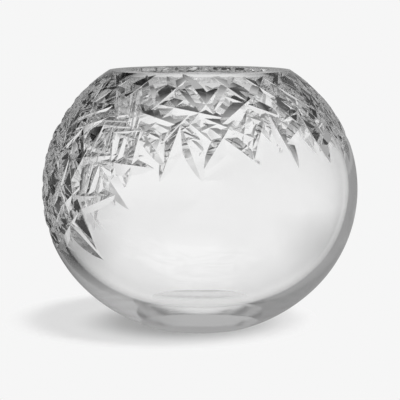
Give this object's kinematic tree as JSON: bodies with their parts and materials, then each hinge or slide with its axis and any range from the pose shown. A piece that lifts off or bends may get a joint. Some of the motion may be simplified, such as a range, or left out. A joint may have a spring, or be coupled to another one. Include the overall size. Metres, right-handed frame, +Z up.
{
  "type": "rose bowl vase",
  "caption": "Round clear crystal rose bowl with a wide flat-ground mouth, a flat foot and a mitre-cut shoulder, used to hold water and flowers.",
  "frame": {"origin": "centre of the ground foot, on the surface that the bowl stands on", "axes": "+Z up along the bowl's axis, -Y to the front, +X to the right seen from the front"},
  "size_m": [0.2199, 0.22, 0.1783],
  "materials": {
    "crystal": "polished"
  },
  "bodies": {
    "root": {"cut_glass_bowl": "crystal"}
  },
  "joints": []
}
